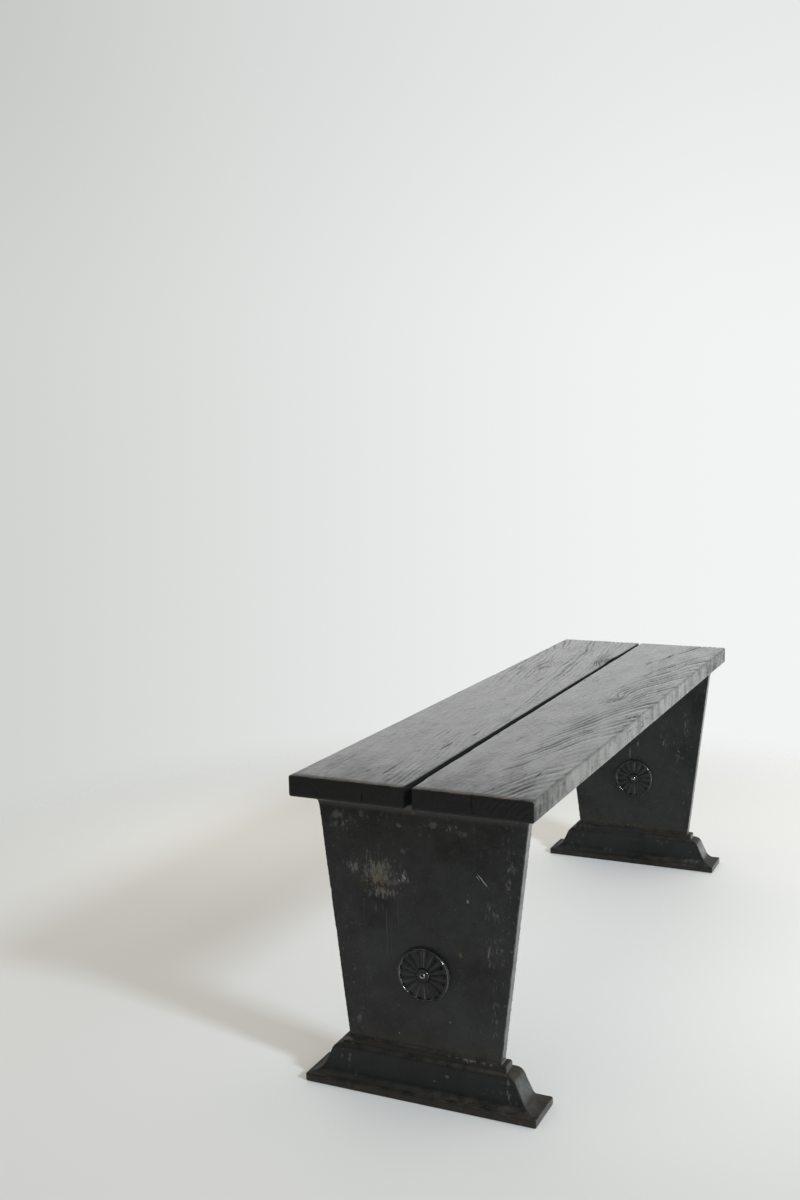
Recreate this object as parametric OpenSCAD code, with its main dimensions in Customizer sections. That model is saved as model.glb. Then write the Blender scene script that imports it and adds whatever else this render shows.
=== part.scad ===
// Backless bench: two old boards on two cast iron ends, each a tapered panel in a moulded foot.
// X runs along the bench, Y across it and Z up. The origin is on the floor under the middle.
// The near end is at -X and the left plank at +Y.

/* [Seat] */
// Height of the top of the seat above the floor
seat_height = 450; // [400:5:520]
// Length of the planks
bench_length = 1185; // [800:5:1800]
// Thickness of the planks
plank_thickness = 30; // [26:1:45]
// Width of the left plank at the near end
left_plank_width = 172.5; // [150:0.5:190]
// How far the left plank's outer edge draws in by the far end
left_outer_taper = 11.5; // [0:0.5:14]
// How far the left plank's inner edge draws in by the far end
left_inner_taper = 1.5; // [0:0.5:6]
// Width of the right plank at the near end
right_plank_width = 170; // [150:0.5:190]
// How far the right plank's outer edge draws in by the far end
right_outer_taper = 3; // [0:0.5:14]
// How far the right plank's inner edge swells into the gap by the far end
right_inner_swell = 5; // [0:0.5:6]
// Gap between the planks at the near end
plank_gap = 12.5; // [10:0.5:20]
// Wear on the planks' long edges, as a radius
plank_edge_radius = 3; // [1:0.5:6]

/* [End panels] */
// Thickness of the panel
panel_thickness = 16; // [14:1:22]
// From the plank's end in to the panel's outer face
panel_setback = 43; // [30:1:80]
// Width of the panel where it meets the foot
panel_foot_width = 228; // [180:2:280]
// Thickness of the seat flange on top of the panel
flange_thickness = 6; // [5:0.5:9]
// From the panel's inner face to the seat flange's inner edge
flange_reach = 38; // [34:1:50]
// From the seat's side in to the seat flange's end
flange_inset = 14.5; // [14:0.5:24]
// How far the seat flange stands out past the panel's outer face and its two ends
flange_overhang = 9; // [5:0.5:12]
// Radius of the cove that leads out to the seat flange's overhang
cove_radius = 18; // [14:1:24]
// Fillet between the seat flange and the panel's inner face
flange_fillet = 8; // [4:0.5:9]
// Radius of the seat flange's inner corners
flange_corner = 10; // [4:1:16]

/* [Feet] */
// Height of the foot
foot_height = 67; // [60:1:90]
// Height of the collar round the panel's lower end
collar_height = 9.5; // [8:0.5:12]
// Rounding of the collar's top edge
collar_round = 3.5; // [2:0.5:4]
// Height of the flat lip on the floor
lip_height = 11.5; // [8:0.5:13]
// How far the foot reaches past the panel at its two ends
end_reach = 58; // [57:0.5:70]
// How far the foot reaches past the panel's two faces
face_reach = 27.5; // [27:0.5:36]
// Collar's width on the foot's ends
end_collar = 8.5; // [5:0.5:9]
// Collar's width on the foot's faces
face_collar = 4.5; // [4:0.5:6]
// Radius of the shoulder on the ends
end_shoulder = 17; // [10:0.5:17]
// Radius of the shoulder on the faces
face_shoulder = 6.5; // [4:0.5:7]
// Lean of the ends' steep part, in degrees from upright
end_lean = 25; // [10:1:26]
// Lean of the faces' steep part, in degrees from upright
face_lean = 3; // [1:1:4]
// Radius of the hollow curve above the lip on the ends
end_hollow = 26; // [12:1:26]
// Radius of the hollow curve above the lip on the faces
face_hollow = 12.5; // [6:0.5:12.5]
// Depth of the pocket that the panel stands in
socket_depth = 14; // [10:1:16]
// Clearance between the panel and the sides of its pocket
socket_clearance = 0.3; // [0.1:0.1:0.6]
// Metal under the pocket
deck_thickness = 10; // [8:1:14]
// Width of the hollow under the foot, along the bench
core_width = 25; // [22:1:27]
// Metal between the hollow and the foot's end, at the floor
core_end_wall = 18; // [14:1:26]
// How far the hollow's ends lean in, floor to deck
core_lean = 22; // [16:1:30]
// Diameter of the two bosses that the foot bolts pass through, which run into the hollow's sides
boss_diameter = 30; // [28:1:36]
// Length of the bosses under the deck
boss_length = 12; // [8:1:16]

/* [Rosettes] */
// Radius of the rosette
rosette_radius = 38.5; // [34:0.5:50]
// Height of the rosette's centre above the floor
rosette_height = 175.5; // [150:0.5:230]
// How far the rosette sits off the panel's middle
rosette_offset = -2; // [-6:1:6]
// Thickness of the rosette's backing disc
rosette_back = 1.6; // [1:0.2:2.4]
// Radius of the round bead along the rosette's rim
rim_bead = 2; // [1.4:0.2:2.6]
// Height of the petals' crests above the backing disc
petal_height = 2.8; // [2.6:0.2:3.6]
// Number of petals
petal_count = 16; // [10:2:20]
// Depth of the flute along each petal, at the rim
flute_depth = 2.2; // [1.4:0.2:2.4]
// Width of the ridge left between two flutes, at the rim
flute_ridge = 1.2; // [0.8:0.2:2]
// Radius of the hub
hub_radius = 9; // [7:0.5:12]
// Height of the hub above the backing disc
hub_height = 4.6; // [3.2:0.2:5.6]
// Width of the groove round the hub
hub_groove = 1.8; // [1:0.2:2.6]

/* [Fasteners] */
// Diameter of the rivet's shank
rivet_diameter = 6; // [4:0.5:8]
// Diameter of the rivet's domed heads
rivet_head_diameter = 10; // [9:0.5:14]
// Height of the rivet's domed heads
rivet_head_height = 2.8; // [1.6:0.2:3.4]
// Diameter of the coach screws that hold the planks
screw_diameter = 8; // [6:0.5:9]
// How deep the coach screws go into the planks
screw_bite = 20; // [14:1:22]
// From the panel's inner face to the row of coach screws
screw_line = 20; // [19:1:22]
// From each plank's edges in to its two coach screws at an end
screw_edge = 42; // [30:1:60]
// Diameter of the foot bolts
foot_bolt_diameter = 8; // [6:0.5:9]
// How deep the foot bolts go into the panel
foot_bolt_bite = 26; // [18:1:32]
// Distance between an end's two foot bolts
foot_bolt_spacing = 120; // [80:5:150]
// Width across the flats of the screw and bolt heads
hex_flats = 13; // [10:0.5:15]
// Height of the screw and bolt heads
hex_height = 5.5; // [4:0.5:7]
// Outer diameter of the washers
washer_diameter = 17; // [16:0.5:20]
// Thickness of the washers
washer_thickness = 1.6; // [1:0.2:2.4]
// Radial clearance of screws, bolts and rivets in the holes that they pass through
hole_clearance = 0.5; // [0.2:0.1:0.8]
// Radial clearance of screws and bolts where their threads hold
thread_clearance = 0.1; // [0.05:0.05:0.2]

/* [Hidden] */
$fn = 64;

iron_colour = [0.13, 0.135, 0.135];
foot_colour = [0.16, 0.155, 0.145];
rosette_colour = [0.09, 0.095, 0.095];
wood_colour = [0.33, 0.33, 0.32];
steel_colour = [0.3, 0.28, 0.26];

// Short steps along a curve, how far a cut runs past the face that it opens, and the depth of
// the slice of plank that is drawn at each end
arc_steps = 10;
overcut = 1;
plank_slice = 0.5;

// Seat: outer edges, and the heights that the rest hangs from
seat_width = left_plank_width + plank_gap + right_plank_width;
seat_side = seat_width / 2;
plank_bottom = seat_height - plank_thickness;
left_inner_edge = seat_side - left_plank_width;
right_inner_edge = -seat_side + right_plank_width;

// Panel: its outer face, and where the straight sides end under the cove
panel_face = -bench_length / 2 + panel_setback;
panel_middle = panel_face + panel_thickness / 2;
flange_bottom = plank_bottom - flange_thickness;
flange_half = seat_side - flange_inset;
panel_top_half = flange_half - flange_overhang;
cove_sweep = acos(1 - flange_overhang / cove_radius);
cove_bottom = flange_bottom - cove_radius * sin(cove_sweep);
panel_foot_half = panel_foot_width / 2;
panel_bottom = foot_height - socket_depth;

// Foot
shoulder_top = foot_height - collar_height;
core_top = panel_bottom - deck_thickness;
boss_bottom = core_top - boss_length;
foot_end_half = panel_foot_half + end_reach;

// Fasteners
screw_x = panel_face + panel_thickness + screw_line;
screw_rows = [seat_side - screw_edge, left_inner_edge + screw_edge,
    right_inner_edge - screw_edge, -seat_side + screw_edge];
screw_head_top = flange_bottom - washer_thickness;
bolt_head_top = boss_bottom - washer_thickness;
bolt_rows = [-foot_bolt_spacing / 2, foot_bolt_spacing / 2];
point_length = 3;
point_tip = 2;

// Rosette: the petals' crests, a flute's far end, where its cone is widest, and how far above the
// crests a flute's cut reaches
crest = rosette_back + petal_height;
rivet_seat = rosette_back + hub_height;
flute_start = hub_radius + hub_groove / 2;
flute_end = rosette_radius - rim_bead * 2;
flute_half_width = PI * flute_end / petal_count - flute_ridge / 2;
flute_end_radius = (pow(flute_half_width, 2) + pow(flute_depth, 2)) / (2 * flute_depth);
flute_tilt = atan((flute_end_radius - flute_depth) / flute_end);
cut_above_crest = 0.05;

// Points along an arc, from one angle to another
function arc(centre, radius, from, to) = [for (i = [0 : arc_steps])
    let (angle = from + (to - from) * i / arc_steps)
    [centre.x + radius * cos(angle), centre.y + radius * sin(angle)]];

// The foot's moulding from collar to floor: collar, shoulder, leaning face, hollow curve and lip.
// x is measured out from half, the panel's side, and y is the height.
function moulding(half, collar, shoulder, lean, hollow, reach) =
    let (shoulder_centre = [half + collar, shoulder_top - shoulder])
    let (hollow_top = lip_height + hollow * (1 - sin(lean)))
    let (lean_top = shoulder_centre.y + shoulder * sin(lean))
    let (lean_run = tan(lean) * (lean_top - hollow_top))
    let (hollow_x = shoulder_centre.x + (shoulder + hollow) * cos(lean) + lean_run)
    concat(
        arc([half + collar - collar_round, foot_height - collar_round], collar_round, 90, 0),
        [[half + collar, shoulder_top]],
        arc(shoulder_centre, shoulder, 90, lean),
        arc([hollow_x, lip_height + hollow], hollow, 180 + lean, 270),
        [[half + reach, lip_height], [half + reach, 0]]);

function mirrored(points) = [for (i = [len(points) - 1 : -1 : 0]) [-points[i].x, points[i].y]];

// Turns a drawing with x along Y and y along Z into a solid across the bench's length
module across_x(centre_x, depth) {
    translate([centre_x - depth / 2, 0, 0])
        rotate([90, 0, 90])
            linear_extrude(height = depth)
                children();
}

// Turns a drawing with x along X and y along Z into a solid across the bench's width
module across_y(width) {
    translate([0, width / 2, 0])
        rotate([90, 0, 0])
            linear_extrude(height = width)
                children();
}

module hexagon(flats, height) {
    cylinder(d = flats / cos(30), h = height, $fn = 6);
}

// Seat planks

// One worn board between a near and a far line, each given by its two edges in Y
module board(near, far) {
    hull() {
        for (end = [[-1, near], [1, far]]) {
            across_x(end[0] * (bench_length - plank_slice) / 2, plank_slice)
                translate([end[1][0] + plank_edge_radius, plank_bottom + plank_edge_radius])
                    offset(r = plank_edge_radius, $fn = 32)
                        square([end[1][1] - end[1][0], plank_thickness]
                            - [2 * plank_edge_radius, 2 * plank_edge_radius]);
        }
    }
}

module pilot_holes(rows) {
    for (side = [-1, 1])
        for (row = rows)
            translate([side * screw_x, row, plank_bottom - overcut])
                cylinder(r = screw_diameter / 2 + thread_clearance, h = screw_bite + overcut * 2);
}

module left_plank() {
    color(wood_colour)
        difference() {
            board([left_inner_edge, seat_side],
                [left_inner_edge + left_inner_taper, seat_side - left_outer_taper]);
            pilot_holes([screw_rows[0], screw_rows[1]]);
        }
}

module right_plank() {
    color(wood_colour)
        difference() {
            board([-seat_side, right_inner_edge],
                [-seat_side + right_outer_taper, right_inner_edge + right_inner_swell]);
            pilot_holes([screw_rows[2], screw_rows[3]]);
        }
}

// Cast ends: each piece is drawn for the near end, and the far end is its mirror image

module far_end() {
    mirror([1, 0, 0]) children();
}

// The panel seen along the bench: tapered sides that flare into the seat flange
module panel_front() {
    right_side = concat(
        [[panel_foot_half, panel_bottom], [panel_foot_half, foot_height]],
        arc([panel_top_half + cove_radius, cove_bottom], cove_radius, 180, 180 - cove_sweep),
        [[flange_half, plank_bottom]]);
    polygon(concat(right_side, mirrored(right_side)));
}

// The panel seen across the bench: a slab with a cove outside and the seat flange inside
module panel_section() {
    inner = panel_face + panel_thickness;
    polygon(concat(
        [[panel_face, panel_bottom]],
        arc([panel_face - cove_radius, cove_bottom], cove_radius, 0, cove_sweep),
        [[panel_face - flange_overhang, plank_bottom], [inner + flange_reach, plank_bottom],
            [inner + flange_reach, flange_bottom]],
        arc([inner + flange_fillet, flange_bottom - flange_fillet], flange_fillet, 90, 180),
        [[inner, panel_bottom]]));
}

// What rounds the seat flange's two inner corners
module flange_corner_cut(side) {
    corner_x = panel_face + panel_thickness + flange_reach - flange_corner;
    corner_y = flange_half - flange_corner;
    translate([corner_x, side * corner_y, flange_bottom - overcut])
        difference() {
            translate([0, side > 0 ? 0 : -flange_corner - overcut, 0])
                cube([flange_corner + overcut, flange_corner + overcut,
                    flange_thickness + overcut * 2]);
            translate([0, 0, -overcut])
                cylinder(r = flange_corner, h = flange_thickness + overcut * 4);
        }
}

module end_panel() {
    color(iron_colour)
        difference() {
            intersection() {
                across_x(0, bench_length)
                    panel_front();
                across_y(seat_width)
                    panel_section();
            }
            for (side = [-1, 1])
                flange_corner_cut(side);
            for (row = screw_rows)
                translate([screw_x, row, flange_bottom - overcut])
                    cylinder(r = screw_diameter / 2 + hole_clearance,
                        h = flange_thickness + overcut * 2);
            for (row = bolt_rows)
                translate([panel_middle, row, panel_bottom - overcut])
                    cylinder(r = foot_bolt_diameter / 2 + thread_clearance,
                        h = foot_bolt_bite + overcut * 2);
            rivet_hole(panel_face - overcut, panel_thickness + overcut * 2);
        }
}

module foot_outline(points) {
    polygon(concat([[0, foot_height]], points, mirrored(points)));
}

module foot_hollow() {
    bottom_half = foot_end_half - core_end_wall;
    across_x(panel_middle, core_width)
        polygon([[-bottom_half, -overcut], [bottom_half, -overcut],
            [bottom_half - core_lean, core_top], [-bottom_half + core_lean, core_top]]);
}

module foot() {
    socket_half = panel_foot_half + socket_clearance;
    color(foot_colour)
        difference() {
            intersection() {
                across_x(panel_middle, panel_thickness + face_reach * 2)
                    foot_outline(moulding(panel_foot_half, end_collar, end_shoulder, end_lean,
                        end_hollow, end_reach));
                across_y(foot_end_half * 2)
                    translate([panel_middle, 0])
                        foot_outline(moulding(panel_thickness / 2, face_collar, face_shoulder,
                            face_lean, face_hollow, face_reach));
            }
            translate([panel_face - socket_clearance, -socket_half, panel_bottom])
                cube([panel_thickness + socket_clearance * 2, socket_half * 2,
                    socket_depth + overcut]);
            difference() {
                foot_hollow();
                for (row = bolt_rows)
                    translate([panel_middle, row, boss_bottom])
                        cylinder(d = boss_diameter, h = boss_length + overcut);
            }
            for (row = bolt_rows)
                translate([panel_middle, row, boss_bottom - overcut])
                    cylinder(r = foot_bolt_diameter / 2 + hole_clearance,
                        h = boss_length + deck_thickness + overcut * 2);
        }
}

// Rosettes, drawn face up and then turned to face outwards or inwards

// One flute: a cone with its point at the rosette's middle, tilted up so that it cuts less deep.
// It stops just above the crests, clear of the rim bead and of the flutes beside it.
module flute(angle) {
    start_share = flute_start / flute_end;
    end_radius = flute_end_radius * cos(flute_tilt);
    rotate([0, 0, angle])
        intersection() {
            translate([flute_start, 0, crest + flute_start * tan(flute_tilt)])
                rotate([0, 90 - flute_tilt, 0])
                    cylinder(r1 = end_radius * start_share, r2 = end_radius,
                        h = (flute_end - flute_start) / cos(flute_tilt));
            translate([0, -end_radius, 0])
                cube([rosette_radius, end_radius * 2, crest + cut_above_crest]);
        }
}

// The rosette's round forms in half section: backing disc, rim bead, petal field, groove and hub
module rosette_body() {
    hole = rivet_diameter / 2 + hole_clearance;
    rotate_extrude()
        polygon(concat(
            [[hole, 0], [rosette_radius, 0]],
            arc([rosette_radius - rim_bead, crest], rim_bead, 0, 180),
            [[hub_radius + hub_groove, crest], [hub_radius + hub_groove, rosette_back],
                [hub_radius, rosette_back], [hub_radius, rivet_seat], [hole, rivet_seat]]));
}

module rosette() {
    difference() {
        rosette_body();
        for (i = [0 : petal_count - 1])
            flute((i + 0.5) * 360 / petal_count);
    }
}

module outer_rosette() {
    color(rosette_colour)
        translate([panel_face, rosette_offset, rosette_height])
            rotate([0, -90, 0])
                rosette();
}

module inner_rosette() {
    color(rosette_colour)
        translate([panel_face + panel_thickness, rosette_offset, rosette_height])
            rotate([0, 90, 0])
                rosette();
}

// Fasteners

module rivet_hole(from_x, length) {
    translate([from_x, rosette_offset, rosette_height])
        rotate([0, 90, 0])
            cylinder(r = rivet_diameter / 2 + hole_clearance, h = length);
}

// A domed head as a slice of a ball, flat side down
module rivet_head() {
    half = rivet_head_diameter / 2;
    ball = (half * half + rivet_head_height * rivet_head_height) / (2 * rivet_head_height);
    sweep = asin(half / ball);
    rotate_extrude()
        polygon(concat([[0, 0]], arc([0, rivet_head_height - ball], ball, 90 - sweep, 90)));
}

module rosette_rivet() {
    length = panel_thickness + rivet_seat * 2;
    color(rosette_colour)
        translate([panel_face - rivet_seat, rosette_offset, rosette_height])
            rotate([0, 90, 0]) {
                cylinder(d = rivet_diameter, h = length);
                translate([0, 0, length])
                    rivet_head();
                mirror([0, 0, 1])
                    rivet_head();
            }
}

// Coach screw standing on its head, with a pointed shank
module coach_screw() {
    shank = washer_thickness + flange_thickness + screw_bite;
    translate([0, 0, -hex_height])
        hexagon(hex_flats, hex_height);
    cylinder(d = screw_diameter, h = shank - point_length);
    translate([0, 0, shank - point_length])
        cylinder(d1 = screw_diameter, d2 = point_tip, h = point_length);
}

module foot_bolt() {
    translate([0, 0, -hex_height])
        hexagon(hex_flats, hex_height);
    cylinder(d = foot_bolt_diameter,
        h = washer_thickness + boss_length + deck_thickness + foot_bolt_bite);
}

module washer(hole_diameter) {
    difference() {
        cylinder(d = washer_diameter, h = washer_thickness);
        translate([0, 0, -overcut])
            cylinder(d = hole_diameter, h = washer_thickness + overcut * 2);
    }
}

module seat_screws() {
    color(steel_colour)
        for (row = screw_rows)
            translate([screw_x, row, screw_head_top])
                coach_screw();
}

module seat_washers() {
    color(steel_colour)
        for (row = screw_rows)
            translate([screw_x, row, screw_head_top])
                washer(screw_diameter + hole_clearance * 2);
}

module foot_bolts() {
    color(steel_colour)
        for (row = bolt_rows)
            translate([panel_middle, row, bolt_head_top])
                foot_bolt();
}

module foot_washers() {
    color(steel_colour)
        for (row = bolt_rows)
            translate([panel_middle, row, bolt_head_top])
                washer(foot_bolt_diameter + hole_clearance * 2);
}

left_plank();
right_plank();
end_panel();  // near_end_panel
far_end() end_panel();  // far_end_panel
foot();  // near_foot
far_end() foot();  // far_foot
outer_rosette();  // near_outer_rosette
inner_rosette();  // near_inner_rosette
far_end() outer_rosette();  // far_outer_rosette
far_end() inner_rosette();  // far_inner_rosette
rosette_rivet();  // near_rosette_rivet
far_end() rosette_rivet();  // far_rosette_rivet
seat_screws();  // near_seat_screws
far_end() seat_screws();  // far_seat_screws
seat_washers();  // near_seat_washers
far_end() seat_washers();  // far_seat_washers
foot_bolts();  // near_foot_bolts
far_end() foot_bolts();  // far_foot_bolts
foot_washers();  // near_foot_washers
far_end() foot_washers();  // far_foot_washers
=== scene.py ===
# Looks for the two board bench on cast iron ends. Metres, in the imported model's own frame.
import math
import bmesh
import bpy
from mathutils import Matrix, Vector


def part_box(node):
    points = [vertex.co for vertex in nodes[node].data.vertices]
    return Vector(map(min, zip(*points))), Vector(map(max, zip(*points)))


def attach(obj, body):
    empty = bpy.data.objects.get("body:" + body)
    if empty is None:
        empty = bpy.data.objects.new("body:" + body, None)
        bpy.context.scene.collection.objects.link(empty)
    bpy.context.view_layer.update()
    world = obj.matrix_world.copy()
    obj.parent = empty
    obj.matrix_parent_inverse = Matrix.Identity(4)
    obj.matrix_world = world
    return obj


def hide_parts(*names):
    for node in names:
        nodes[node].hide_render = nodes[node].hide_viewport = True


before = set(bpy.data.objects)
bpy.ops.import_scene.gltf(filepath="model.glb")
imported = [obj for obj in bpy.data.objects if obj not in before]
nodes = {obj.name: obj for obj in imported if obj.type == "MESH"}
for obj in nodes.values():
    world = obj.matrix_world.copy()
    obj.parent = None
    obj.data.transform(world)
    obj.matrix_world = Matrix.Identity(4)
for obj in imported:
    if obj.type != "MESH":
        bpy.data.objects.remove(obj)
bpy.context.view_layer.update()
mm = 0.001
straight = 0.9    # how nearly a direction has to lie along an axis to count as along it


# Camera: where the photograph was taken from
camera = {
    "place": (-2.17808, -0.73343, 0.94031),
    "yaw": 24.9361,      # degrees to the left of the bench's length
    "pitch": 7.8667,     # degrees below the horizon
    "roll": -1.0658,
    "lens": 41.036,
    "sensor": 36,        # along the picture's long side
    "reach": 100,
}


def placeCamera():
    yaw, pitch, roll = (math.radians(camera[turn]) for turn in ("yaw", "pitch", "roll"))
    level = math.cos(pitch)
    ahead = Vector((math.cos(yaw) * level, math.sin(yaw) * level, -math.sin(pitch)))
    side = Vector((math.sin(yaw), -math.cos(yaw), 0))
    up = side.cross(ahead)
    right = math.cos(roll) * side + math.sin(roll) * up
    above = math.cos(roll) * up - math.sin(roll) * side
    data = bpy.data.cameras.new("photoCamera")
    data.lens = camera["lens"]
    data.sensor_fit = "VERTICAL"
    data.sensor_height = camera["sensor"]
    data.sensor_width = camera["sensor"]
    data.clip_end = camera["reach"]
    taker = bpy.data.objects.new("photoCamera", data)
    bpy.context.scene.collection.objects.link(taker)
    rows = zip(right, above, -ahead, camera["place"])
    taker.matrix_world = Matrix((*rows, (0, 0, 0, 1)))
    bpy.context.scene.camera = taker


# Node trees written as sums: Value wraps a socket, Net makes the nodes of one tree
class Value:
    def __init__(self, net, socket):
        self.net = net
        self.socket = socket

    def __add__(self, other):
        return self.net.maths("ADD", self, other)

    def __radd__(self, other):
        return self.net.maths("ADD", other, self)

    def __sub__(self, other):
        return self.net.maths("SUBTRACT", self, other)

    def __rsub__(self, other):
        return self.net.maths("SUBTRACT", other, self)

    def __mul__(self, other):
        return self.net.maths("MULTIPLY", self, other)

    def __rmul__(self, other):
        return self.net.maths("MULTIPLY", other, self)

    def __truediv__(self, other):
        return self.net.maths("DIVIDE", self, other)

    def __rtruediv__(self, other):
        return self.net.maths("DIVIDE", other, self)

    def __pow__(self, other):
        return self.net.maths("POWER", self, other)

    def __rpow__(self, other):
        return self.net.maths("POWER", other, self)

    def __abs__(self):
        return self.net.maths("ABSOLUTE", self)

    def fraction(self):
        return self.net.maths("FRACT", self)

    def root(self):
        return self.net.maths("SQRT", self)

    def atLeast(self, other):
        return self.net.maths("MAXIMUM", self, other)

    def atMost(self, other):
        return self.net.maths("MINIMUM", self, other)

    # Held between 0 and 1
    def clear(self):
        return self.atLeast(0).atMost(1)

    # 0 below the first value, 1 above the second, with a soft step between; also runs downwards
    def rise(self, low, high):
        return self.net.add("ShaderNodeMapRange", {"interpolation_type": "SMOOTHSTEP"},
                            {0: self, 1: low, 2: high, 3: 0.0, 4: 1.0})

    # A soft bump of height 1 round a middle value
    def hill(self, middle, width):
        away = (self - middle) / width
        return self.net.maths("EXPONENT", away * away * -1)


class Net:
    def __init__(self, tree):
        self.tree = tree

    def add(self, kind, settings=None, sockets=None, output=0):
        node = self.tree.nodes.new(kind)
        for name, value in (settings or {}).items():
            setattr(node, name, value)
        for name, value in (sockets or {}).items():
            if isinstance(value, Value):
                self.link(value, node, name)
            else:
                node.inputs[name].default_value = value
        return Value(self, node.outputs[output])

    def link(self, value, node, name):
        self.tree.links.new(value.socket, node.inputs[name])

    def maths(self, operation, *values):
        return self.add("ShaderNodeMath", {"operation": operation}, dict(enumerate(values)))

    def split(self, vector):
        node = self.add("ShaderNodeSeparateXYZ", None, {0: vector}).socket.node
        return [Value(self, socket) for socket in node.outputs]

    def vector(self, x, y, z):
        return self.add("ShaderNodeCombineXYZ", None, {0: x, 1: y, 2: z})

    # Noise from 0 to 1, in cycles a millimetre: one scale for all axes, or one for each
    def noise(self, place, scale, detail=2.0, roughness=0.5, shift=0.0):
        scales = scale if isinstance(scale, tuple) else (scale, scale, scale)
        x, y, z = (axis * own for axis, own in zip(place, scales))
        return self.add("ShaderNodeTexNoise", {"noise_dimensions": "3D"},
                        {"Vector": self.vector(x + shift, y, z), "Scale": 1.0,
                         "Detail": detail, "Roughness": roughness})

    # A round or oval spot of height 1
    def spot(self, along, across, size=1.0):
        return self.maths("EXPONENT", (along * along + across * across) / -size)

    # The strongest of several masks
    def strongest(self, masks):
        first, *others = masks
        for other in others:
            first = first.atLeast(other)
        return first

    def blend(self, share, first, second):
        first, second = ((*end, 1.0) if isinstance(end, tuple) else end for end in (first, second))
        return self.add("ShaderNodeMix", {"data_type": "RGBA"}, {0: share, 6: first, 7: second}, 2)

    # Bump from a height in millimetres
    def bump(self, height, strength=1.0):
        return self.add("ShaderNodeBump", None,
                        {"Strength": strength, "Distance": mm, "Height": height})


def newMaterial(name, ior=1.5, specular=0.5, coatIor=1.5, coatRoughness=0.2):
    material = bpy.data.materials.new(name)
    material.use_nodes = True
    shader = material.node_tree.nodes["Principled BSDF"]
    shader.inputs["IOR"].default_value = ior
    shader.inputs["Specular IOR Level"].default_value = specular
    shader.inputs["Coat IOR"].default_value = coatIor
    shader.inputs["Coat Roughness"].default_value = coatRoughness
    return material, Net(material.node_tree), shader


# Object coordinates in millimetres
def objectPlace(net):
    return [axis / mm for axis in net.split(net.add("ShaderNodeTexCoord", output=3))]


def surfaceNormal(net):
    return net.split(net.add("ShaderNodeNewGeometry", output=1))


def feed(net, shader, colour, roughness, normal, metallic=None):
    net.link(colour, shader, "Base Color")
    net.link(roughness, shader, "Roughness")
    net.link(normal, shader, "Normal")
    if metallic:
        net.link(metallic, shader, "Metallic")


# Modelling helpers
def startFresh():
    if bpy.context.object and bpy.context.object.mode != "OBJECT":
        bpy.ops.object.mode_set(mode="OBJECT")
    bpy.ops.object.select_all(action="DESELECT")


def takeUp(piece):
    startFresh()
    piece.select_set(True)
    bpy.context.view_layer.objects.active = piece


def apply(piece, kind, **settings):
    takeUp(piece)
    modifier = piece.modifiers.new(kind.lower(), kind)
    for name, value in settings.items():
        setattr(modifier, name, value)
    bpy.ops.object.modifier_apply(modifier=modifier.name)


# Selects vertices, edges or faces by their place or direction, in edit mode
def pick(piece, kind, test):
    takeUp(piece)
    bpy.ops.object.mode_set(mode="EDIT")
    bpy.ops.mesh.select_mode(type=kind)
    bpy.ops.mesh.select_all(action="DESELECT")
    shape = bmesh.from_edit_mesh(piece.data)
    for item in {"VERT": shape.verts, "EDGE": shape.edges, "FACE": shape.faces}[kind]:
        if test(item):
            item.select_set(True)
    shape.select_flush_mode()
    bmesh.update_edit_mesh(piece.data)


# Moves the surface along its normal by a height in millimetres, worked out by a node tree
def carve(piece, height):
    group = bpy.data.node_groups.new("carving", "GeometryNodeTree")
    for way in ("INPUT", "OUTPUT"):
        group.interface.new_socket("Geometry", in_out=way, socket_type="NodeSocketGeometry")
    net = Net(group)
    place = [axis / mm for axis in net.split(net.add("GeometryNodeInputPosition"))]
    facing = net.add("GeometryNodeInputNormal")
    offset = net.add("ShaderNodeVectorMath", {"operation": "SCALE"},
                     {0: facing, "Scale": height(net, place, net.split(facing)) * mm})
    shape = net.add("NodeGroupInput")
    moved = net.add("GeometryNodeSetPosition", None, {"Geometry": shape, "Offset": offset})
    net.link(moved, group.nodes.new("NodeGroupOutput"), 0)
    apply(piece, "NODES", node_group=group)
    bpy.data.node_groups.remove(group)


def finishPiece(piece, name, node, material):
    piece.name = name
    piece.data.name = name
    piece.data.materials.clear()
    piece.data.materials.append(material)
    takeUp(piece)
    bpy.ops.object.shade_smooth()
    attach(piece, "root")
    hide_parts(node)


placeCamera()
print("camera placed")


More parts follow.
